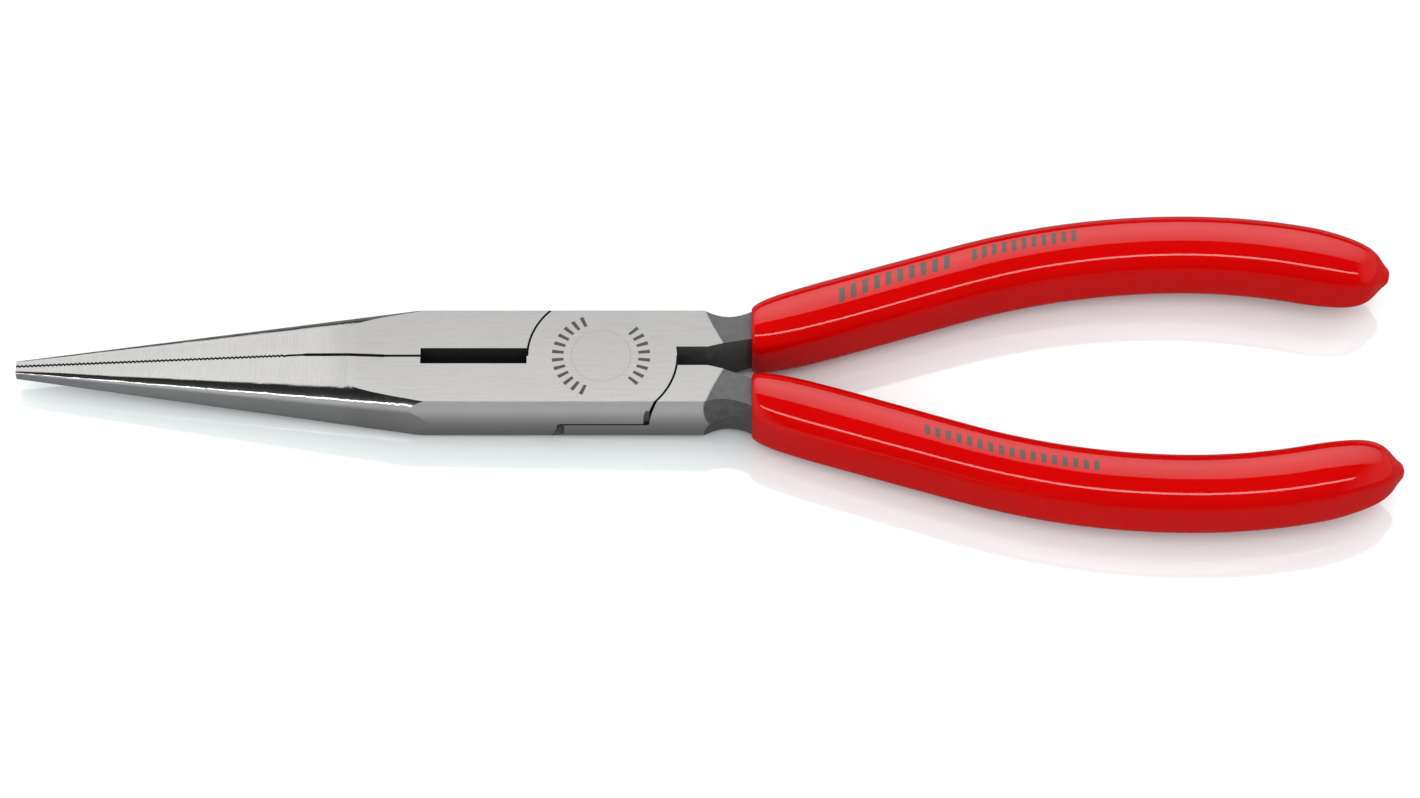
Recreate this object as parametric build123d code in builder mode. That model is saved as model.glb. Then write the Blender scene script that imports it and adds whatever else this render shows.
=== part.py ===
# Long-nose side-cutting pliers, 200 mm, with a lap joint and dipped plastic handles.
# Frame: X along the tool with the nose at -X, Y across the jaws, Z up.
# The origin is on the pivot axis, in the plane of the head's flat underside.
# Each forging has its jaw on one side of the tool and its handle on the other.
from build123d import *
from math import asin, cos, degrees, radians, sin, sqrt, tan
import os

os.makedirs("parts", exist_ok=True)

# ---- driving dimensions, millimetres and degrees ----
# head: a flat block with crowned sides, ground after forging
head_thickness = 9.5
head_half_width = 7.7        # of the flat faces
side_crown = 1.05            # bulge of each side beyond the flat faces

# nose: a tapered, half-round beak
jaw_length = 84.8            # pivot to nose tip
nose_root = 25.0             # pivot to where the beak reaches the head's full width
nose_flat_start = 36.5       # pivot to where the beak reaches the head's full thickness
nose_overrun = 2.0           # the beak's taper runs on this far inside the head
tip_half_width = 1.05
tip_half_height = 1.0
tip_edge_radius = 0.4
root_edge_radius = 3.2

# jaw faces, from the nose back: teeth, land, relief, throat, cutters
parting_offset = 0.45        # the beak's point and the gripping faces sit to the far side of centre
tooth_pitch = 0.6
tooth_depth = 0.2
tooth_clearance = 0.34
land_length = 2.3
relief_length = 12.0
relief_half_gap = 0.24
throat_length = 5.0
throat_half_gap = 0.19

# side cutters
cutter_front = 26.04         # pivot to the front end of the cutting edges
slot_half_width = 1.3
slot_depth = 4.3             # straight-walled part of the slot, from the top face
cutting_height = 3.0         # cutting edges above the underside
bevel_half_width = 3.2       # of the bevels' mouth on the underside
edge_half_gap = 0.05

# lap joint
front_shoulder_angle = 56.0  # where the round cheek meets the head's side, from the tool's axis
rear_shoulder_angle = 53.0
cheek_clearance = 0.16       # radial, round each cheek
lap_clearance = 0.08         # between the two lap faces
# reliefs where a cheek runs out at the head's sides: radius, angle, and distance beyond the cheek
front_relief = (1.15, 54.0, 0.37)
rear_relief = (0.6, 53.0, 0.15)
rivet_radius = 3.5
rivet_flare = 0.8            # the closed ends are this much wider all round
rivet_end_depth = 1.2
rivet_clearance = 0.03       # running fit in the over half

# shanks and handles
shank_half_gap = 1.57
shank_taper = 6.0            # length from the joint to the shank's waist
waist_inset = 0.75           # the waist is this much narrower than the head's faces
handle_angle = 17.8          # of the straight part, to the tool's axis
handle_root_x = 17.0         # a point on the straight part's centre line
handle_root_y = 3.9
handle_straight = 36.75
bow_radius = 108.0           # from the straight part to the widest point
tail_radius = 88.0           # from the widest point to the end
tang_width = 5.9
tang_thickness = 8.4
tang_corner_radius = 1.0

# dipped grips
grip_wall = 1.55
grip_corner_radius = 3.8
grip_start = 21.7            # pivot to the grips' mouths
grip_body_end = 105.4        # pivot to where the rounded ends begin
grip_end_wall = 2.5          # plastic beyond the tang, ahead of the rounded end
grip_tail = 9.8              # length of the rounded end, with its drip
grip_tail_shift = 0.8        # the drip hangs this far outside the centre line
drip_share = 0.1             # of the full section, left at the drip's point
tail_steps = 6

# ---- derived sizes ----
mid = head_thickness / 2
side_reach = head_half_width + side_crown
clear_of_head = 3 * side_reach
front_cheek_radius = side_reach / sin(radians(front_shoulder_angle))
rear_cheek_radius = side_reach / sin(radians(rear_shoulder_angle))
joint_front = -front_cheek_radius - cheek_clearance
shank_start = rear_cheek_radius + cheek_clearance + 1
shank_waist = shank_start + shank_taper
shank_end = grip_start + tang_width
grip_width = tang_width + 2 * grip_wall
grip_thickness = tang_thickness + 2 * grip_wall


def across(x):
    """Plane across the tool at x, centred at mid-thickness: its axes are the tool's Y and Z."""
    return Plane((x, 0, mid), x_dir=(0, 1, 0), z_dir=(1, 0, 0))


def handle_line_y(x):
    """Distance from the tool's axis to the centre line of a handle's straight part."""
    return handle_root_y + (x - handle_root_x) * tan(radians(handle_angle))


# ---- shared outlines ----
def nose_section(x):
    """Beak at x: centre, width, height and edge radius, each in a straight line from tip to root."""
    run = x + jaw_length
    width_growth = (side_reach - tip_half_width) / (jaw_length - nose_root)
    height_growth = (mid - tip_half_height) / (jaw_length - nose_flat_start)
    edge_growth = (root_edge_radius - tip_edge_radius) / (jaw_length - nose_root)
    centre = parting_offset * (1 - run / (jaw_length - nose_root))
    return (centre, 2 * (tip_half_width + width_growth * run), 2 * (tip_half_height + height_growth * run),
            tip_edge_radius + edge_growth * run)


def jaw_face(side):
    """Plan points along one jaw's inner face, from past the tip to the pivot; side is its Y sign."""
    relief_rear = -cutter_front - throat_length
    relief_front = relief_rear - relief_length
    teeth = int((relief_front - land_length + jaw_length) / tooth_pitch)
    grip_y = parting_offset + side * tooth_clearance / 2
    ramp = 2 * relief_half_gap
    points = [(-jaw_length - tooth_pitch, grip_y)]
    for step in range(2 * teeth + 1):
        crest = tooth_depth / 2 * (1 if step % 2 else -1)
        points.append((-jaw_length + step * tooth_pitch / 2, grip_y + crest))
    points += [
        (-jaw_length + (teeth + 1) * tooth_pitch, grip_y),
        (relief_front, grip_y),
        (relief_front + ramp, parting_offset + side * relief_half_gap),
        (relief_rear - ramp, side * relief_half_gap),
        (relief_rear, side * throat_half_gap),
        (-cutter_front, side * throat_half_gap),
        (-cutter_front + throat_half_gap, side * edge_half_gap),
        (0, side * edge_half_gap),
    ]
    return points


def cheek_outline(side, growth):
    """Round cheek of the half whose jaw is on side: one radius to the nose, one to the handles."""
    front = front_cheek_radius + growth
    rear = rear_cheek_radius + growth
    with BuildSketch() as cheek:
        with BuildLine():
            CenterArc((0, 0), front, 90, 180)
            Line((0, -front), (0, -rear))
            CenterArc((0, 0), rear, -90, 180)
            Line((0, rear), (0, front))
        make_face()
        if growth == 0:
            for end, cheek_radius, relief in ((-1, front, front_relief), (1, rear, rear_relief)):
                radius, angle, beyond = relief
                out, turn = cheek_radius + beyond, radians(angle)
                with Locations((end * out * cos(turn), end * side * out * sin(turn))):
                    Circle(radius, mode=Mode.SUBTRACT)
    return cheek.sketch


def half_region(side, at_cheek):
    """Plan of one forging, at the level of its own cheek or of the other half's cheek."""
    front = -jaw_length - tooth_pitch
    with BuildSketch() as region:
        with BuildLine():
            Polyline(*jaw_face(side), (0, side * clear_of_head), (front, side * clear_of_head), close=True)
        make_face()
        with BuildLine():
            Polyline((0, -side * shank_half_gap), (shank_end, -side * shank_half_gap),
                     (shank_end, -side * clear_of_head), (0, -side * clear_of_head), close=True)
        make_face()
        if at_cheek:
            add(cheek_outline(side, 0))
        else:
            add(cheek_outline(side, cheek_clearance), mode=Mode.SUBTRACT)
    return region.sketch


def handle_path(side):
    """Centre line of one handle: straight, then two arcs that bow it back; side is its Y sign."""
    with BuildLine(Plane.XY.offset(mid)) as path:
        straight = PolarLine((handle_root_x, side * handle_root_y), handle_straight, side * handle_angle)
        bow = JernArc(straight @ 1, straight % 1, bow_radius, -side * handle_angle)
        tail_turn = degrees(asin((grip_body_end - (bow @ 1).X) / tail_radius))
        JernArc(bow @ 1, bow % 1, tail_radius, -side * tail_turn)
    return path.line


def rivet_profile(clearance):
    """Half section of the rivet, or of its hole when clearance is added."""
    shaft = rivet_radius + clearance
    end = shaft + rivet_flare
    with BuildSketch(Plane.XZ) as profile:
        with BuildLine():
            Polyline((0, 0), (end, 0), (shaft, rivet_end_depth), (shaft, head_thickness - rivet_end_depth),
                     (end, head_thickness), (0, head_thickness), close=True)
        make_face()
    return profile.sketch


# ---- the ground form: the polished faces of the head, and the beak ----
with BuildPart() as head_form:
    with BuildSketch(across(-jaw_length)):
        with BuildLine():
            far_side = ThreePointArc((head_half_width, -mid), (side_reach, 0), (head_half_width, mid))
            near_side = ThreePointArc((-head_half_width, mid), (-side_reach, 0), (-head_half_width, -mid))
            Line(far_side @ 1, near_side @ 0)
            Line(near_side @ 1, far_side @ 0)
        make_face()
    extrude(amount=jaw_length + shank_waist)
    # behind the waist the forging is narrower than the head, and the ground faces don't reach it
    with BuildSketch(across(shank_waist)):
        Rectangle(2 * clear_of_head, 2 * head_thickness)
    extrude(amount=shank_end - shank_waist)

with BuildPart() as beak_form:
    for x in (-jaw_length, -nose_root + nose_overrun):
        centre, width, height, edge = nose_section(x)
        with BuildSketch(across(x)):
            with Locations((centre, 0)):
                RectangleRounded(width, height, edge)
    loft(ruled=True)
    with BuildSketch(across(-nose_root + nose_overrun)):
        Rectangle(2 * clear_of_head, 2 * head_thickness)
    extrude(amount=nose_root - nose_overrun + shank_end)


# ---- the forged shanks, six-sided, and the tangs behind them ----
def shank_stations():
    """Sections down a shank: x, inner Y, edge Y, mid-height Y, inner height and outer height."""
    half_tang = tang_width / 2
    at_grip, at_end = handle_line_y(grip_start), handle_line_y(shank_end)
    return (
        (shank_start, shank_half_gap - 0.37, head_half_width + 1.7, side_reach + 1.35,
         mid + 1.16, mid + 0.4),
        (shank_start + shank_taper / 2, shank_half_gap - 0.07, head_half_width - 0.1, side_reach + 0.25,
         mid + 0.53, mid - 0.04),
        (shank_waist, shank_half_gap + waist_inset, head_half_width - waist_inset, side_reach - 1.25,
         mid - 0.14, mid - 0.58),
        (grip_start, at_grip - half_tang + 0.85, at_grip + half_tang - 0.45, at_grip + half_tang - 0.2,
         tang_thickness / 2 - 0.15, tang_thickness / 2 - 0.2),
        (shank_end, at_end - half_tang + 0.5, at_end + half_tang - 0.35, at_end + half_tang - 0.15,
         tang_thickness / 2 - 0.2, tang_thickness / 2 - 0.2),
    )


def forged_outline(side):
    """A block ahead of the shank, then the forged shank itself; side is the shank's Y sign."""
    with BuildPart() as outline:
        for x, inner, edge, middle, inner_height, outer_height in shank_stations():
            with BuildSketch(across(x)):
                with BuildLine():
                    Polyline((side * inner, -inner_height), (side * edge, -outer_height), (side * middle, 0),
                             (side * edge, outer_height), (side * inner, inner_height), close=True)
                make_face()
        loft()
        with BuildSketch(across(-jaw_length)):
            Rectangle(2 * clear_of_head, 2 * head_thickness)
        extrude(amount=jaw_length + shank_start)
    return outline.part


def tang(side):
    """Bar that runs down the inside of one grip."""
    path = handle_path(side)
    with BuildPart() as bar:
        with BuildSketch(Plane(path @ 0, x_dir=(0, 0, 1), z_dir=path % 0)):
            RectangleRounded(tang_thickness, tang_width, tang_corner_radius)
        sweep(path=path)
        split(bisect_by=Plane.YZ.offset(grip_body_end - grip_end_wall), keep=Keep.BOTTOM)
        split(bisect_by=Plane.YZ.offset((grip_start + shank_end) / 2), keep=Keep.TOP)
    return bar.part


# ---- the side cutters: slot from above, flanks down to the edges, bevels from below ----
with BuildPart() as cutter_opening:
    slot_floor = mid - slot_depth
    edge_level = cutting_height - mid
    with BuildSketch(across(-cutter_front)):
        with BuildLine():
            Polyline((-slot_half_width, head_thickness), (-slot_half_width, slot_floor),
                     (-edge_half_gap, edge_level), (-bevel_half_width, -mid),
                     (-bevel_half_width, -head_thickness), (bevel_half_width, -head_thickness),
                     (bevel_half_width, -mid), (edge_half_gap, edge_level),
                     (slot_half_width, slot_floor), (slot_half_width, head_thickness), close=True)
        make_face()
    extrude(amount=cutter_front + joint_front)


# ---- the two forgings ----
def forging(side, cheek_on_top):
    """One half, before its rivet hole: jaw on one side, cheek, and handle on the other side."""
    split_height = mid + lap_clearance / 2 if cheek_on_top else mid - lap_clearance / 2
    with BuildPart() as kept_space:
        with BuildSketch():
            add(half_region(side, not cheek_on_top))
        extrude(amount=split_height)
        with BuildSketch(Plane.XY.offset(split_height)):
            add(half_region(side, cheek_on_top))
        extrude(amount=head_thickness - split_height)
    with BuildPart() as blank:
        add(head_form.part)
        add(beak_form.part, mode=Mode.INTERSECT)
        add(forged_outline(-side), mode=Mode.INTERSECT)
        add(kept_space.part, mode=Mode.INTERSECT)
        add(cutter_opening.part, mode=Mode.SUBTRACT)
        add(tang(-side))
    return blank.part


with BuildPart() as under_half:
    add(forging(1, False))
    with BuildSketch(Plane.XZ):
        add(rivet_profile(0))
    revolve(axis=Axis.Z, mode=Mode.SUBTRACT)
under_half.part.label = "under_half"
export_step(under_half.part, "parts/under_half.step")

with BuildPart() as over_half:
    add(forging(-1, True))
    with BuildSketch(Plane.XZ):
        add(rivet_profile(rivet_clearance))
    revolve(axis=Axis.Z, mode=Mode.SUBTRACT)
over_half.part.label = "over_half"
export_step(over_half.part, "parts/over_half.step")

# ---- the rivet: tight in the under half, its two closed ends ground flush with the faces ----
with BuildPart() as pivot_rivet:
    with BuildSketch(Plane.XZ):
        add(rivet_profile(0))
    revolve(axis=Axis.Z)
pivot_rivet.part.label = "pivot_rivet"
export_step(pivot_rivet.part, "parts/pivot_rivet.step")


# ---- the dipped grips ----
def grip(side, forged):
    """Plastic coat round one forging's tang, with a rounded end and a small hanging drip."""
    path = handle_path(side)
    tail_plane = Plane(path @ 1, x_dir=(0, 0, 1), z_dir=path % 1)
    with BuildPart() as coat:
        with BuildSketch(Plane(path @ 0, x_dir=(0, 0, 1), z_dir=path % 0)):
            RectangleRounded(grip_thickness, grip_width, grip_corner_radius)
        sweep(path=path)
        split(bisect_by=Plane.YZ.offset(grip_start), keep=Keep.TOP)
        # the tail's sections shrink as a quarter ellipse and end in the drip
        for step in range(tail_steps + 1):
            along = step / tail_steps
            share = drip_share + (1 - drip_share) * sqrt(1 - along**2)
            with BuildSketch(tail_plane.offset(grip_tail * along)):
                with Locations((0, -side * grip_tail_shift * along)):
                    RectangleRounded(grip_thickness * share, grip_width * share, grip_corner_radius * share)
        loft()
        add(forged, mode=Mode.SUBTRACT)
    return coat.part


with BuildPart() as near_grip:
    add(grip(-1, under_half.part))
near_grip.part.label = "near_grip"
export_step(near_grip.part, "parts/near_grip.step")

with BuildPart() as far_grip:
    add(grip(1, over_half.part))
far_grip.part.label = "far_grip"
export_step(far_grip.part, "parts/far_grip.step")
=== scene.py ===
# %% [markdown]
# # Long-nose side-cutting pliers
# This notebook dresses a finished engineering model of a pair of pliers and lights it like a small
# product on a pale table. The steel halves and the rivet come ready made from the CAD frame and are
# never reshaped here: they only get their finishes. The two dipped plastic grips are modelled new,
# because dipping leaves soft, uneven shapes that are easier to make by hand than by CAD.
# Everything is in metres. X runs along the tool with the nose at -X, Y across the jaws, Z up.

# %% Load the frame and keep its size
import bpy
import math
from mathutils import Matrix, Vector


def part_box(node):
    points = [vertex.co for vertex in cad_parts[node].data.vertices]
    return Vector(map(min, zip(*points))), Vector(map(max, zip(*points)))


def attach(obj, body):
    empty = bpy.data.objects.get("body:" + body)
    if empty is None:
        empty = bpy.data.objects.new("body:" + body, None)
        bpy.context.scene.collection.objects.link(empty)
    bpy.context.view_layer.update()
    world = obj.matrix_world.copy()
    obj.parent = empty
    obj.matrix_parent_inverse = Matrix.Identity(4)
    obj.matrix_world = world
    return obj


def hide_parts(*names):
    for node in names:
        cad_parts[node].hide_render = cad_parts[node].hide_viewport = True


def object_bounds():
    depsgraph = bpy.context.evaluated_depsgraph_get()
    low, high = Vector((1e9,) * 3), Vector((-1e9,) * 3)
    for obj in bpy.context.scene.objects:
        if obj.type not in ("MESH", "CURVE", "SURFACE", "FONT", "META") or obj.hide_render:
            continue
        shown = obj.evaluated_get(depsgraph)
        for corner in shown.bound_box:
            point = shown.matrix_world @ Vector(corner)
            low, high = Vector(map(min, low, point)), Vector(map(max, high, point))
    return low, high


millimetre = 0.001
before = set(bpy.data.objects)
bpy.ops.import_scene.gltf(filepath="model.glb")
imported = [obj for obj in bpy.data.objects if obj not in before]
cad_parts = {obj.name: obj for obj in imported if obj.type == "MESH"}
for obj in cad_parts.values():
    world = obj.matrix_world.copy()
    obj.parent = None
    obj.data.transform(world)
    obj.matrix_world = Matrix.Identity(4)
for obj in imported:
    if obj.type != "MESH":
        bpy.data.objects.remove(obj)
steel_nodes = ("under_half", "over_half", "pivot_rivet")
cad_box = [list(corner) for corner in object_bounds()]
print("frame holds", sorted(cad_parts))
print("box of the frame in mm", [[round(1000 * v, 1) for v in corner] for corner in cad_box])

# %% [markdown]
# ## The camera
# The tool lies flat and is seen from its near side, about sixty degrees above the table, through a
# long lens. A long lens from far away keeps the two grips almost the same size, as in a catalogue.
# The camera could be aimed with a Track To constraint. Working out the place from an angle and a
# distance gives the same aim with nothing left running in the scene.

# %% Camera
mid_height = 0.5 * (cad_box[0][2] + cad_box[1][2])
aim = Vector((15.72 * millimetre, -4.42 * millimetre, mid_height))
view_height_angle = math.radians(58.83)
camera_distance = 794.78 * millimetre
lens_length, film_width = 139.46, 36

camera_data = bpy.data.cameras.new("catalogue_camera")
camera_data.lens, camera_data.sensor_width = lens_length, film_width
camera_data.dof.use_dof = False
camera = bpy.data.objects.new("catalogue_camera", camera_data)
bpy.context.scene.collection.objects.link(camera)
toward_camera = Vector((0, -math.cos(view_height_angle), math.sin(view_height_angle)))
camera.location = aim + camera_distance * toward_camera
camera.rotation_euler = (math.pi / 2 - view_height_angle, 0, 0)
bpy.context.scene.camera = camera
bpy.context.scene.view_settings.view_transform = "Standard"
print("camera at", [round(v, 3) for v in camera.location])

# %% [markdown]
# ## The light
# Polished steel and glossy plastic have hardly any look of their own: they show what stands round
# them. One large soft box behind and above the tool gives the pale sheen on every upper face, and it
# fades toward its edges as if it had a grid in front. A second box almost straight above carries
# that sheen a little further over the rounded edges of the steel. A narrow strip on the near side draws
# the thin bright line along each grip, and another, low down, the line along the beak. A last large
# panel that only reaches rough surfaces keeps the table white without adding another reflection.
# Point or sun lights would be simpler, but a light's own shape is what a glossy surface shows.

# %% Helper for a soft box
def soft_box(name, tilt, distance, width, depth, power, spread=180, seen_in_gloss=True, only_on=None):
    """Area light aimed at the tool; tilt is degrees from straight above, and positive is the near side."""
    data = bpy.data.lights.new(name, "AREA")
    data.shape = "RECTANGLE"
    data.size, data.size_y = width, depth
    data.energy = power
    data.spread = math.radians(spread)
    lamp = bpy.data.objects.new(name, data)
    bpy.context.scene.collection.objects.link(lamp)
    angle = math.radians(tilt)
    lamp.location = aim + distance * Vector((0, -math.sin(angle), math.cos(angle)))
    lamp.rotation_euler = (angle, 0, 0)
    lamp.visible_glossy = seen_in_gloss
    lamp.visible_diffuse = not seen_in_gloss
    lamp.light_linking.receiver_collection = only_on


print("soft boxes are aimed at", [round(v, 3) for v in aim])

# %% Soft boxes
grips_only = bpy.data.collections.new("lit_grips")
steel_only = bpy.data.collections.new("lit_steel")
for name in steel_nodes:
    steel_only.objects.link(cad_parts[name])
soft_box("rear_soft_box", tilt=-46, distance=1.0, width=2.5, depth=1.1, power=6.6, spread=100)
soft_box("top_soft_box", tilt=-9, distance=1.0, width=2.5, depth=0.36, power=6.0, only_on=steel_only)
soft_box("near_strip", tilt=31, distance=1.1, width=1.6, depth=0.13, power=5.0, only_on=grips_only)
soft_box("low_strip", tilt=84, distance=1.1, width=1.6, depth=0.06, power=2.0, only_on=steel_only)
soft_box("table_panel", tilt=10, distance=1.3, width=2.6, depth=2.2, power=10, seen_in_gloss=False)

# %% [markdown]
# ### The room
# The room gives two things. To rough surfaces it is an even, slightly cool light from all round, which
# keeps the shadows open. In reflections it is nearly black in front and behind, so the rounded edges
# of the steel fall off to dark, with pale walls to the left and right. A light-path node tells the
# two kinds of ray apart. Real studios do the same with black and white cards.

# %% Room
room_light, room_in_reflections, wall_in_reflections = 1.12, 0.03, 0.50
room = bpy.data.worlds.new("studio_room")
room.use_nodes = True
bpy.context.scene.world = room
sky = room.node_tree.nodes["Background"]
sky.inputs["Color"].default_value = (0.97, 0.98, 1.0, 1)


def room_node(kind, fed_by=None):
    """One node of the room's light, with its first input fed by another node's output."""
    made = room.node_tree.nodes.new(kind)
    if fed_by is not None:
        room.node_tree.links.new(fed_by, made.inputs[0])
    return made


direction = room_node("ShaderNodeTexCoord").outputs["Generated"]
sideways = room_node("ShaderNodeSeparateXYZ", direction).outputs["X"]
either_side = room_node("ShaderNodeMath", sideways)
either_side.operation = "ABSOLUTE"
walls = room_node("ShaderNodeMapRange", either_side.outputs[0])
for socket, number in zip(walls.inputs[1:5], (0.50, 0.75, room_in_reflections, wall_in_reflections)):
    socket.default_value = number
strength = room_node("ShaderNodeMapRange", room_node("ShaderNodeLightPath").outputs["Is Glossy Ray"])
strength.inputs["To Min"].default_value = room_light
room.node_tree.links.new(walls.outputs[0], strength.inputs["To Max"])
room.node_tree.links.new(strength.outputs[0], sky.inputs["Strength"])
print("room light", room_light, "to rough surfaces,", room_in_reflections, "in reflections")

# %% [markdown]
# ## Wiring materials
# A procedural finish is a chain of small sums on the position of each point. Placing the nodes by
# hand for each sum gets long, so a few helpers make one node each and hand back its output.

# %% Node helpers
class Finish:
    """A new material, its Principled shader, and the coordinates that its patterns are measured in."""

    def __init__(self, name):
        self.material = bpy.data.materials.new(name)
        self.material.use_nodes = True
        self.tree = self.material.node_tree
        self.shader = self.tree.nodes["Principled BSDF"]
        coordinates = self.node("ShaderNodeTexCoord")
        self.place, self.facing = coordinates.outputs["Object"], coordinates.outputs["Normal"]

    def node(self, kind, **settings):
        made = self.tree.nodes.new(kind)
        for key, value in settings.items():
            setattr(made, key, value)
        return made

    def feed(self, socket, value):
        if isinstance(value, bpy.types.NodeSocket):
            self.tree.links.new(value, socket)
        else:
            socket.default_value = value

    def sum(self, operation, *values):
        """One step of arithmetic on numbers or on other nodes' outputs."""
        made = self.node("ShaderNodeMath", operation=operation)
        for socket, value in zip(made.inputs, values):
            self.feed(socket, value)
        return made.outputs[0]

    def split(self, vector):
        made = self.node("ShaderNodeSeparateXYZ")
        self.feed(made.inputs[0], vector)
        return made.outputs

    def ramp(self, value, low, high, out_low=0.0, out_high=1.0):
        """A soft step: out_low where value is at low, out_high where it is at high, level beyond them."""
        made = self.node("ShaderNodeMapRange", interpolation_type="SMOOTHSTEP")
        for socket, number in zip(made.inputs, (value, low, high, out_low, out_high)):
            self.feed(socket, number)
        return made.outputs[0]

    def mix(self, share, first, second):
        """The first colour where share is 0, the second where it is 1."""
        made = self.node("ShaderNodeMix", data_type="RGBA")
        self.feed(made.inputs["Factor"], share)
        colours = [s for s in made.inputs if s.type == "RGBA"]
        self.feed(colours[0], first)
        self.feed(colours[1], second)
        return [s for s in made.outputs if s.type == "RGBA"][0]

    def noise(self, scale, detail=2.0, roughness=0.5):
        """Noise with its own number of waves per metre along X, Y and Z."""
        stretch = self.node("ShaderNodeMapping")
        self.feed(stretch.inputs["Vector"], self.place)
        stretch.inputs["Scale"].default_value = scale
        made = self.node("ShaderNodeTexNoise")
        self.feed(made.inputs["Vector"], stretch.outputs[0])
        made.inputs["Scale"].default_value = 1.0
        made.inputs["Detail"].default_value = detail
        made.inputs["Roughness"].default_value = roughness
        return made.outputs[0]

    def relief(self, height, depth):
        """A bump that is depth metres deep where height is 1."""
        made = self.node("ShaderNodeBump")
        made.inputs["Strength"].default_value = 1.0
        made.inputs["Distance"].default_value = depth
        self.feed(made.inputs["Height"], height)
        return made.outputs[0]


print("helpers ready")

# %% [markdown]
# ## The steel
# Each half is one forging. The flat top and underside of the head are ground along the tool, the nose
# is ground across it, and the rounded sides and edges are buffed smoother. Behind the head the skin is
# left as forged, dark grey and rough. The finishes could be separate materials on chosen faces, but
# the CAD mesh must stay untouched, so one material finds each finish from its place.

# %% Sizes that the steel's finish needs
head_lo, head_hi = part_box("over_half")
half_head = 0.5 * (head_hi.z - head_lo.z)
head_front = -36.5 * millimetre        # where the beak begins to get thinner
nose_start = -24 * millimetre          # where the beak begins to get narrower
crown_centre = -2.52 * millimetre      # centre and radius of the arc of each crowned side
crown_radius = 11.27 * millimetre
face_depth = 0.05 * millimetre         # points this close to a flat face belong to it
side_depth = 0.07 * millimetre         # and this close to a crowned side, to the side
steel = Finish("ground_and_forged_steel")
x, y, z = steel.split(steel.place)[:3]
level = steel.sum("ABSOLUTE", steel.sum("SUBTRACT", z, half_head))
across = steel.sum("ABSOLUTE", y)
upright = steel.sum("ABSOLUTE", steel.split(steel.facing)[2])
print("head is", round(2000 * half_head, 3), "mm thick")

# %% [markdown]
# ### Where it is ground
# Grinding reaches the two flat planes, the two crowned sides and the whole nose. A hand-painted mask
# would show the same thing, but would have to be painted again after every change of size.

# %% Ground surfaces
from_crown = steel.sum("SUBTRACT", across, crown_centre)
crown = steel.sum("SQRT", steel.sum("ADD", steel.sum("POWER", from_crown, 2.0),
                                    steel.sum("POWER", level, 2.0)))
off_crown = steel.sum("ABSOLUTE", steel.sum("SUBTRACT", crown, crown_radius))
on_flat = steel.sum("GREATER_THAN", level, half_head - face_depth)
on_side = steel.sum("LESS_THAN", off_crown, side_depth)
on_nose = steel.sum("LESS_THAN", x, nose_start)
ground = steel.sum("MAXIMUM", steel.sum("MAXIMUM", on_flat, on_side), on_nose)
print("ground: flats, sides and nose")

# %% [markdown]
# ### Inside the slot
# The cutters' slot and the gap between the jaws are too narrow to be ground or cleaned, so they keep a
# dark skin, and they are also painted nearly black as the shade inside them. They are the upright faces
# near the middle of the nose.

# %% Slot walls
parting, parting_reach = 0.25 * millimetre, 0.6 * millimetre
slot_front, slot_rear, slot_reach = -26.3 * millimetre, -10.2 * millimetre, 1.5 * millimetre
on_wall = steel.sum("LESS_THAN", upright, 0.5)
off_parting = steel.sum("ABSOLUTE", steel.sum("SUBTRACT", y, parting))
near_parting = steel.sum("LESS_THAN", off_parting, parting_reach)
beside_slot = steel.sum("MULTIPLY", steel.sum("LESS_THAN", across, slot_reach),
                        steel.sum("GREATER_THAN", x, slot_front))
ahead_of_joint = steel.sum("MULTIPLY", on_wall, steel.sum("LESS_THAN", x, slot_rear))
in_slot = steel.sum("MULTIPLY", ahead_of_joint, steel.sum("MAXIMUM", near_parting, beside_slot))
print("slot walls found")

# %% [markdown]
# ### Grinding lines
# A belt leaves fine lines in the direction it runs. Noise stretched a long way in one direction gives
# such lines: along the tool on the head's flats, across it elsewhere. A last, slower noise clouds the
# surface a little, as handling does.

# %% Lines and clouds
long_lines = steel.noise((170, 3200, 220), detail=4, roughness=0.7)
cross_lines = steel.noise((5000, 260, 260), detail=4, roughness=0.7)
head_flat = steel.sum("MULTIPLY", on_flat, steel.sum("GREATER_THAN", x, head_front))
elsewhere = steel.sum("SUBTRACT", 1.0, head_flat)
lines = steel.sum("ADD", steel.sum("MULTIPLY", long_lines, head_flat),
                  steel.sum("MULTIPLY", cross_lines, elsewhere))
skin = steel.noise((900, 900, 900), detail=5, roughness=0.6)
clouds = steel.noise((90, 160, 160), detail=2)
print("lines and clouds ready")

# %% [markdown]
# ### Tone of the steel
# The ground steel is a light warm grey, a touch brighter on the nose, which gets a finer last pass.
# The upright sides are painted much lighter, a painted sheen, and the far side of the tool a little
# darker, a painted shade. The forged skin is dark grey oxide.

# %% Colour of ground and forged steel
contrast = steel.ramp(upright, 0.95, 0.99, 0.16, 0.40)
streaks = steel.sum("MULTIPLY", steel.sum("SUBTRACT", lines, 0.5), contrast)
cloudy = steel.sum("MULTIPLY", steel.sum("SUBTRACT", clouds, 0.2), 0.12)
tone = steel.sum("ADD", 0.99, steel.sum("ADD", streaks, cloudy))
# Painted shade: the colour darkens a little toward the far side of the tool (larger y) and lightens toward
# the near side.
tone = steel.sum("MULTIPLY", tone, steel.sum("SUBTRACT", 1.0, steel.sum("MULTIPLY", y, 10.0)))
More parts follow.
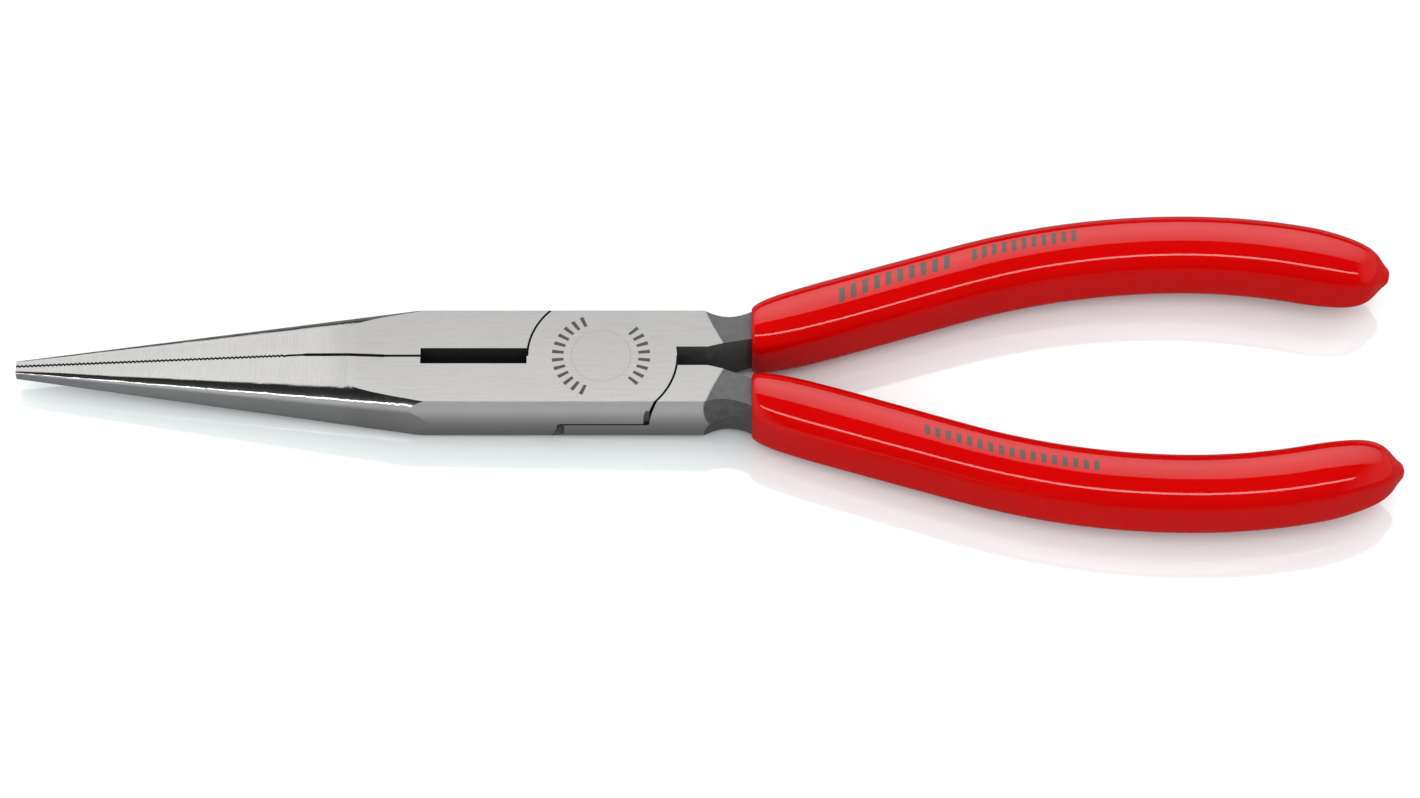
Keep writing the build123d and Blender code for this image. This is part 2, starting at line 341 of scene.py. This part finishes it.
# Painted sheen: the upright sides are painted up to 2.7 times lighter than the flats, which are a touch
# darker.
tone = steel.sum("MULTIPLY", tone, steel.ramp(upright, 0.55, 0.95, 2.7, 0.84))
tone = steel.sum("MULTIPLY", tone, steel.ramp(x, -42 * millimetre, -34 * millimetre, 1.26, 1.0))
bright = steel.node("ShaderNodeCombineColor")
for socket, share in zip(bright.inputs, (0.300, 0.296, 0.288)):
    steel.feed(socket, steel.sum("MULTIPLY", tone, share))
dark = steel.node("ShaderNodeCombineColor")
for socket in dark.inputs:
    steel.feed(socket, steel.ramp(skin, 0.3, 0.7, 0.055, 0.085))
colour = steel.mix(ground, dark.outputs[0], bright.outputs[0])
# Slot walls: dark skin plus painted shade, nearly black.
colour = steel.mix(in_slot, colour, (0.03, 0.03, 0.03, 1))
print("tone set")

# %% [markdown]
# ### Painted shade in the joint
# The narrow gaps of the joint are painted dark as shade: the two round cheeks seen on each face, and
# the lap line along the sides. On the upper face a cheek shows on one side of the tool in front and on
# the other behind, and the underside is the other way round.

# %% Dark edges of the joint
front_cheek, rear_cheek_wider = 10.63 * millimetre, 0.40 * millimetre
cheek_edge, lap_edge = 0.16 * millimetre, 0.17 * millimetre
radius = steel.sum("SQRT", steel.sum("ADD", steel.sum("POWER", x, 2.0), steel.sum("POWER", y, 2.0)))
behind = steel.sum("GREATER_THAN", x, 0.0)
cheek = steel.sum("ADD", front_cheek, steel.sum("MULTIPLY", behind, rear_cheek_wider))
off_cheek = steel.sum("ABSOLUTE", steel.sum("SUBTRACT", radius, cheek))
upper = steel.sum("SUBTRACT", z, half_head)
turned = steel.sum("MULTIPLY", steel.sum("MULTIPLY", x, y), upper)
cheek_gap_shade = steel.sum("MULTIPLY", steel.sum("LESS_THAN", off_cheek, cheek_edge),
                     steel.sum("LESS_THAN", turned, 0.0))
lap_gap_shade = steel.sum("MULTIPLY", steel.sum("LESS_THAN", level, lap_edge),
                   steel.sum("LESS_THAN", radius, cheek))
# Painted shade: the joint's cheek and lap gaps are painted almost black.
colour = steel.mix(steel.sum("MAXIMUM", cheek_gap_shade, lap_gap_shade), colour, (0.010, 0.010, 0.010, 1))
print("joint edges darkened")

# %% [markdown]
# ### The ring of ticks
# Pliers carry pressed marks round the rivet. Plain short ticks in two arcs keep the pattern without any
# letters. The bearing round the rivet is cut into equal steps, and each step holds one tick.

# %% Ring of ticks
tick_ring, tick_length = 6.25 * millimetre, 1.7 * millimetre
ticks_all_round = 30
rear_arc, front_arc = math.radians(44), math.radians(106)
bearing = steel.sum("ARCTAN2", y, x)
turn = steel.sum("MULTIPLY", steel.sum("ADD", bearing, math.tau), ticks_all_round / math.tau)
tick = steel.sum("ABSOLUTE", steel.sum("SUBTRACT", steel.sum("FRACT", turn), 0.5))
off_ring = steel.sum("ABSOLUTE", steel.sum("SUBTRACT", radius, tick_ring))
in_ring = steel.sum("LESS_THAN", off_ring, tick_length / 2)
turned_away = steel.sum("ABSOLUTE", bearing)
in_arcs = steel.sum("MAXIMUM", steel.sum("LESS_THAN", turned_away, rear_arc),
                    steel.sum("GREATER_THAN", turned_away, front_arc))
on_top = steel.sum("GREATER_THAN", upper, half_head - face_depth)
ticks = steel.sum("MULTIPLY", steel.sum("MULTIPLY", steel.ramp(tick, 0.24, 0.16), in_ring),
                  steel.sum("MULTIPLY", in_arcs, on_top))
colour = steel.mix(ticks, colour, (0.050, 0.049, 0.047, 1))
steel.feed(steel.shader.inputs["Base Color"], colour)
print(ticks_all_round, "ticks all round, in two arcs")

# %% [markdown]
# ### Gloss and relief
# Ground steel is a bare metal with a satin gloss. The forged skin is an oxide, so it is no metal to the
# eye, and rough. The lines are also cut into the surface, and less deeply on the buffed edges.

# %% Gloss and relief of the steel
not_ground = steel.sum("SUBTRACT", 1.0, ground)
ground_roughness = steel.sum("MULTIPLY", steel.ramp(lines, 0.25, 0.75, 0.22, 0.32),
                             steel.ramp(upright, 0.94, 0.99, 0.6, 1.0))
skin_roughness = steel.ramp(skin, 0.3, 0.7, 0.42, 0.55)
steel.feed(steel.shader.inputs["Roughness"],
           steel.sum("ADD", steel.sum("MULTIPLY", ground_roughness, ground),
                     steel.sum("MULTIPLY", skin_roughness, not_ground)))
cut = steel.sum("MULTIPLY", ground, steel.ramp(upright, 0.95, 0.99, 0.006, 0.06))
height = steel.sum("ADD", steel.sum("MULTIPLY", lines, cut), steel.sum("MULTIPLY", skin, not_ground))
steel.feed(steel.shader.inputs["Normal"], steel.relief(height, 0.03 * millimetre))
steel.feed(steel.shader.inputs["Metallic"],
           steel.sum("MULTIPLY", ground, steel.sum("SUBTRACT", 1.0, in_slot)))
for name in steel_nodes:
    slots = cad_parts[name].data.materials
    slots.clear()
    slots.append(steel.material)
print("steel finish on", steel_nodes)

# %% [markdown]
# ## The grips
# Each handle is dipped in liquid plastic and hung up to set. The coat is thin at the mouth, full along
# the handle, and runs down to a rounded end with a small hardened drip. It could be swept along
# a curve, but a swept tube ends in a flat cut. Growing it from one section, extrusion by extrusion,
# as it would be done by hand, lets every station have its own width, thickness and turn.

# %% Helpers for modelling by hand
def start_clean():
    """Object mode, with nothing selected: an operator acts on all that is selected."""
    if bpy.context.mode != "OBJECT":
        bpy.ops.object.mode_set(mode="OBJECT")
    bpy.ops.object.select_all(action="DESELECT")


def turn_flat(degrees, centre):
    """Turn the selection about the upright axis; with no window, the operator turns the other way."""
    bpy.ops.transform.rotate(value=-math.radians(degrees), orient_axis="Z", center_override=centre)


start_clean()
print("nothing selected")

# %% [markdown]
# ### The line of the handles
# Each handle leaves the joint straight, bows outwards to its widest point, and turns back a little
# toward its end. A curve object could hold this line, but an arc's formula gives the place and the
# heading at any distance, so the coat can be grown along it in even steps.

# %% Size of the coat
grip_lo, grip_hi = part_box("far_grip")
mouth_x = grip_lo.x
coat_width, coat_thickness = 9.3 * millimetre, 11.5 * millimetre
handle_angle = 17.8                    # degrees, of the handle's straight part
straight_end = Vector((51.99, 15.13, 4.75)) * millimetre
bow_radius, tail_radius = 108 * millimetre, 88 * millimetre
widest_x = straight_end.x + bow_radius * math.sin(math.radians(handle_angle))
widest_y = straight_end.y + bow_radius * (1 - math.cos(math.radians(handle_angle)))


def handle_line(x):
    """Centre of the far handle at x, and its heading in degrees."""
    if x < straight_end.x:
        slope = math.tan(math.radians(handle_angle))
        return Vector((x, straight_end.y - (straight_end.x - x) * slope, straight_end.z)), handle_angle
    radius = bow_radius if x < widest_x else tail_radius
    heading = -math.asin((x - widest_x) / radius)
    y = widest_y - radius * (1 - math.cos(heading))
    return Vector((x, y, straight_end.z)), math.degrees(heading)


print("grips start at", round(1000 * mouth_x, 1), "and are widest at", round(1000 * widest_x, 1))

# %% [markdown]
# ### The section at the mouth
# The section is a rounded rectangle. A plane of the section's size with its four corners bevelled
# gives it as one face, which is then extruded.

# %% Mouth section
inner_width, inner_thickness, corner = 5.0 * millimetre, 8.2 * millimetre, 2.3 * millimetre
mouth_centre, _ = handle_line(mouth_x)
mouth_centre.y += 0.25 * millimetre
start_clean()
bpy.ops.mesh.primitive_plane_add(size=1, location=mouth_centre, rotation=(0, math.pi / 2, 0))
far_grip = bpy.context.object
far_grip.scale = (inner_thickness, inner_width, 1)
bpy.ops.object.transform_apply(location=True, rotation=True, scale=True)
far_grip.name = far_grip.data.name = "grip_far"
bpy.ops.object.mode_set(mode="EDIT")
bpy.ops.mesh.select_all(action="SELECT")
bpy.ops.mesh.bevel(offset=corner, segments=7, affect="VERTICES")
print("mouth section made in the plane x =", round(1000 * mouth_x, 1))

# %% [markdown]
# ### Planning the coat
# Every station is a place on the handle's line, a heading, and the width and thickness there. The
# first ones make the rolled lip at the mouth, where the coat swells quickly to its full size and
# turns from the mouth's square cut to the handle's heading.

# %% Stations of the lip
class Station:
    """Where the coat's section goes, which way it faces, and how large it is; aside is away from the axis."""

    def __init__(self, x, width, thickness, heading, aside=0.0):
        centre, _ = handle_line(x)
        self.centre = centre + Vector((0, aside, 0))
        self.width, self.thickness, self.heading = width, thickness, heading


# millimetres behind the mouth, width, thickness, aside
lip = [(0.00, 6.1, 9.3, 0.25), (0.05, 6.8, 10.1, 0.22), (0.25, 7.4, 10.6, 0.2), (0.7, 7.9, 10.95, 0.16),
       (1.6, 8.35, 11.15, 0.12), (3.2, 8.75, 11.3, 0.06), (5.5, 9.1, 11.42, 0.0)]
turn_starts, turn_length = 0.7, 4.8
stations = []
for behind_mouth, width, thickness, aside in lip:
    heading = handle_angle * min(1.0, max(0.0, (behind_mouth - turn_starts) / turn_length))
    stations.append(Station(mouth_x + behind_mouth * millimetre, width * millimetre,
                            thickness * millimetre, heading, aside * millimetre))
print(len(stations), "stations in the lip")

# %% [markdown]
# ### The long body
# Along the body the section stays the same, and only its place and heading change. A dip is never
# quite even, though, so the coat swells and thins by up to one part in a hundred. Two slow waves
# of different length do that without looking regular.

# %% Stations of the body
body_start, body_end, station_gap = 31.5 * millimetre, 104.0 * millimetre, 2.9 * millimetre
count = round((body_end - body_start) / station_gap)
for step in range(count + 1):
    x = body_start + (body_end - body_start) * step / count
    swell = 1 + 0.006 * math.sin(x / 0.0113) + 0.004 * math.sin(x / 0.0052 + 1.0)
    stations.append(Station(x, coat_width * swell, coat_thickness, handle_line(x)[1]))
print(len(stations), "stations up to the end of the body")

# %% [markdown]
# ### The end and its drip
# The handle is hung with its end down, so the last of the plastic runs there. The sections close in
# like half an egg, drift away from the axis, and finish in a small hardened drip.

# %% Stations of the end
# millimetres behind the body, share of the full section, aside
tail = [(2.5, 0.966, 0.0), (4.5, 0.920, 0.05), (6.2, 0.856, 0.15), (7.5, 0.772, 0.3), (8.5, 0.665, 0.45),
        (9.2, 0.55, 0.65), (9.75, 0.42, 0.85), (10.15, 0.33, 1.05), (10.5, 0.265, 1.2), (10.9, 0.20, 1.3),
        (11.15, 0.11, 1.3)]
tail_heading = handle_line(body_end)[1]
for behind_body, share, aside in tail:
    x = body_end + behind_body * millimetre
    stations.append(Station(x, coat_width * share, coat_thickness * share, tail_heading, aside * millimetre))
print(len(stations), "stations in all")

# %% [markdown]
# ### Growing the coat
# The mouth section is extruded to the next station, turned to its new heading, and resized, again and
# again. Each step leaves one ring of faces behind, as it would by hand.

# %% Grow the far grip
here, width, thickness, heading = mouth_centre, inner_width, inner_thickness, 0.0
for station in stations:
    bpy.ops.mesh.extrude_region_move(TRANSFORM_OT_translate={"value": station.centre - here})
    turn_flat(station.heading - heading, station.centre)
    wider, thicker = station.width / width, station.thickness / thickness
    bpy.ops.transform.resize(value=(wider, wider, thicker), center_override=station.centre)
    here, width, thickness, heading = station.centre, station.width, station.thickness, station.heading
bpy.ops.object.mode_set(mode="OBJECT")
lo = [min(v.co[i] for v in far_grip.data.vertices) for i in range(3)]
hi = [max(v.co[i] for v in far_grip.data.vertices) for i in range(3)]
print("far grip in mm", [round(1000 * v, 2) for v in lo], [round(1000 * v, 2) for v in hi])
print("frame has", [round(1000 * v, 2) for v in grip_lo], [round(1000 * v, 2) for v in grip_hi])

# %% [markdown]
# ### Opening the mouth
# The coat is a skin round the tang, not a solid bar. Its first face lies inside the tang, so it is
# pushed a little way in, which leaves a rolled lip that meets the steel all round.

# %% Sink the mouth face
start_clean()
far_grip.select_set(True)
bpy.context.view_layer.objects.active = far_grip
bpy.ops.object.mode_set(mode="EDIT")
bpy.ops.mesh.select_all(action="DESELECT")
bpy.ops.object.mode_set(mode="OBJECT")
for face in far_grip.data.polygons:
    face.select = face.normal.x < -0.99 and len(face.vertices) > 4
bpy.ops.object.mode_set(mode="EDIT")
bpy.ops.transform.resize(value=(1, 0.93, 0.95), center_override=mouth_centre)
bpy.ops.transform.translate(value=(1.2 * millimetre, 0.38 * millimetre, 0))
bpy.ops.mesh.select_all(action="SELECT")
bpy.ops.mesh.normals_make_consistent(inside=False)
bpy.ops.object.mode_set(mode="OBJECT")
print("faces before smoothing:", len(far_grip.data.polygons))

# %% [markdown]
# ### Smoothing
# Plastic that has set from a liquid has no edges at all. Smooth shading alone would leave the
# outline in short straight pieces, so the mesh is subdivided twice, which also rounds it.

# %% Smooth the coat
start_clean()
far_grip.select_set(True)
bpy.context.view_layer.objects.active = far_grip
softness = far_grip.modifiers.new("softness", "SUBSURF")
softness.levels = softness.render_levels = 2
bpy.ops.object.modifier_apply(modifier=softness.name)
bpy.ops.object.shade_smooth()
print("far grip faces:", len(far_grip.data.polygons))

# %% [markdown]
# ### The near grip
# The other handle is the same shape turned over the tool's axis. The mesh is copied and mirrored,
# and a mirror turns a shape inside out, so its faces are pointed outwards again.

# %% Near grip
near_grip = far_grip.copy()
near_grip.data = far_grip.data.copy()
near_grip.name = near_grip.data.name = "grip_near"
bpy.context.scene.collection.objects.link(near_grip)
near_grip.data.transform(Matrix.Scale(-1, 4, (0, 1, 0)))
start_clean()
near_grip.select_set(True)
bpy.context.view_layer.objects.active = near_grip
bpy.ops.object.mode_set(mode="EDIT")
bpy.ops.mesh.select_all(action="SELECT")
bpy.ops.mesh.normals_make_consistent(inside=False)
bpy.ops.object.mode_set(mode="OBJECT")
print("near grip faces:", len(near_grip.data.polygons))

# %% [markdown]
# ### Riding on the halves
# The far grip belongs to the half that swings, the near one to the half that stays. Each takes the place
# of the plain grip in the frame, and both are lit by the near strip.

# %% Grips take their places
for grip in (far_grip, near_grip):
    grips_only.objects.link(grip)
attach(far_grip, "upper_lever")
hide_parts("far_grip")
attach(near_grip, "lower_lever")
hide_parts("near_grip")
print("grips ride on their halves")

# %% [markdown]
# ### Dipped plastic
# The coat is a soft vinyl: one strong red, glossy, with a skin that is never perfectly flat. A faint
# slow bump breaks up the reflections, and a very fine one keeps the gloss from looking like glass.

# %% Red and its skin
coat = Finish("dipped_red_plastic")
slow = coat.noise((60, 90, 90), detail=1)
fine = coat.noise((2500, 2500, 2500), detail=2)
red = coat.mix(coat.ramp(slow, 0.3, 0.7), (0.54, 0.0006, 0.0004, 1), (0.51, 0.0005, 0.0003, 1))
coat.feed(coat.shader.inputs["Roughness"], coat.ramp(fine, 0.3, 0.7, 0.04, 0.06))
skin_height = coat.sum("ADD", slow, coat.sum("MULTIPLY", fine, 0.01))
coat.feed(coat.shader.inputs["Normal"], coat.relief(skin_height, 0.12 * millimetre))
coat.shader.inputs["IOR"].default_value = 1.43
print("red skin ready")

# %% [markdown]
# ### The print on the grips
# Dipped grips often carry a line of print along the top. Plain bars keep its place and weight without
# any letters. They have to follow the handle, so the distance of each point from the handle's middle
# line is worked out first: a straight line, then a shallow curve.

# %% Middle line of the handles
x, y, z = coat.split(coat.place)[:3]
straight = coat.sum("ADD", straight_end.y, coat.sum(
    "MULTIPLY", coat.sum("SUBTRACT", x, straight_end.x), math.tan(math.radians(handle_angle))))
bowed = coat.sum("SUBTRACT", widest_y, coat.sum(
    "DIVIDE", coat.sum("POWER", coat.sum("SUBTRACT", x, widest_x), 2.0), 2.05 * bow_radius))
middle = coat.sum("MINIMUM", straight, bowed)
upper_side = coat.sum("GREATER_THAN", z, 7 * millimetre)
far_aside = coat.sum("SUBTRACT", coat.sum("SUBTRACT", y, middle), 0.9 * millimetre)
near_aside = coat.sum("SUBTRACT", coat.sum("ADD", y, middle), 0.5 * millimetre)
print("middle line found")

# %% [markdown]
# ### Rows of bars
# Three rows are printed: a bold and a finer one on the far grip, and a small one on the near grip. One
# helper draws a row, and its soft ramps give the bars the slightly fuzzy edge of ink on plastic.

# %% Bars
def row_of_bars(aside, start, end, count, height):
    """Share of ink: count bars from start to end along the tool and height tall, all in millimetres."""
    pitch = (end - start) / count * millimetre
    phase = coat.sum("FRACT", coat.sum("DIVIDE", coat.sum("SUBTRACT", x, start * millimetre), pitch))
    off_middle = coat.sum("ABSOLUTE", coat.sum("SUBTRACT", x, (start + end) / 2 * millimetre))
    within = coat.sum("LESS_THAN", off_middle, (end - start) / 2 * millimetre)
    bar = coat.ramp(coat.sum("ABSOLUTE", coat.sum("SUBTRACT", phase, 0.5)), 0.29, 0.23)
    tall = coat.ramp(coat.sum("ABSOLUTE", aside), (height / 2 + 0.08) * millimetre,
                     (height / 2 - 0.04) * millimetre)
    return coat.sum("MULTIPLY", within, coat.sum("MULTIPLY", bar, tall))


bold_row = row_of_bars(far_aside, start=34, end=51, count=10, height=2.4)
fine_row = row_of_bars(far_aside, start=53.5, end=69.5, count=11, height=2.0)
small_row = row_of_bars(near_aside, start=46, end=71.5, count=17, height=1.6)
printed = coat.sum("MAXIMUM", coat.sum("MAXIMUM", bold_row, fine_row), small_row)
printed = coat.sum("MULTIPLY", printed, upper_side)
coat.feed(coat.shader.inputs["Base Color"], coat.mix(printed, red, (0.080, 0.045, 0.034, 1)))
for grip in (far_grip, near_grip):
    grip.data.materials.clear()
    grip.data.materials.append(coat.material)
print("plastic on", far_grip.name, near_grip.name)

# %% [markdown]
# ## The table
# A plain white glossy board. The tool lies on two lines: the front of the head's underside, and the
# place just behind the mouths of the grips where the coat gets its full thickness. Since the grips are
# thicker than the head, the board slopes down a little, and the ends of the grips hang just clear.

# %% Table
full_coat = 28 * millimetre            # where the coat has got its full thickness
rest_front = Vector((head_front, 0, 0))
rest_rear = Vector((full_coat, 0, cad_box[0][2]))
table_tilt = math.atan2(rest_front.z - rest_rear.z, rest_rear.x - rest_front.x)
start_clean()
bpy.ops.mesh.primitive_grid_add(x_subdivisions=4, y_subdivisions=4, size=12,
                                location=rest_front, rotation=(0, table_tilt, 0))
bpy.ops.object.transform_apply(location=True, rotation=True, scale=True)
table = bpy.context.object
table.name = "table"
board = Finish("white_board")
board.feed(board.shader.inputs["Base Color"],
           board.mix(board.noise((2, 2, 2)), (0.835, 0.872, 0.865, 1), (0.83, 0.865, 0.86, 1)))
board.shader.inputs["Roughness"].default_value = 0.06
board.shader.inputs["Specular IOR Level"].default_value = 1.0
table.data.materials.append(board.material)
print("table tilts by", round(math.degrees(table_tilt), 2), "degrees")

# %% [markdown]
# ### The table in reflections
# What the tool mirrors from below is the same board painted darker, as if grey cards lay beside it. So the
# white board is hidden from reflections, and a copy a hair lower, which only reflections see, takes
# its place. By the steel it is painted darkest close to the tool, a painted shadow of the tool on the
# table, which darkens the lower edge of the steel's sides. By the grips it is darkest far away, so the
# red stays deep down to a soft glow along the bottom.

# %% Grey board
mirrored_table = table.copy()
mirrored_table.data = table.data.copy()
mirrored_table.name = "table_in_reflections"
mirrored_table.location.z = -0.02 * millimetre
bpy.context.scene.collection.objects.link(mirrored_table)
grey_board = Finish("grey_board")
x, y, _ = grey_board.split(grey_board.place)[:3]
# Painted shadow: next to the steel the grey board darkens toward the tool, standing in for the tool's own
# shadow on the table.
near_side = grey_board.ramp(x, -85 * millimetre, -28 * millimetre, 1.4 * millimetre, 9.5 * millimetre)
past_side = grey_board.sum("ADD", y, near_side)
by_steel_with_painted_shadow = grey_board.mix(grey_board.ramp(past_side, -16 * millimetre, 3 * millimetre),
                          (0.47, 0.47, 0.47, 1), (0.14, 0.14, 0.14, 1))
by_grips = grey_board.mix(grey_board.ramp(y, -70 * millimetre, -26 * millimetre),
                          (0.01, 0.01, 0.01, 1), (0.16, 0.16, 0.16, 1))
under_grips = grey_board.ramp(x, 15 * millimetre, 30 * millimetre)
grey_board.feed(grey_board.shader.inputs["Base Color"], grey_board.mix(under_grips, by_steel_with_painted_shadow, by_grips))
mirrored_table.data.materials.clear()
mirrored_table.data.materials.append(grey_board.material)
print("grey board made for reflections")

# %% [markdown]
# ### Which rays see which board
# Every object can be hidden from some kinds of ray. The camera and the soft light see the white board
# only, reflections see the grey one only, and the white board may not shade the grey one below it.

# %% Which rays see which board
table.visible_glossy = table.visible_shadow = False
mirrored_table.visible_camera = mirrored_table.visible_diffuse = False
mirrored_table.visible_glossy = True
print("the white board is for the camera, the grey one for reflections")
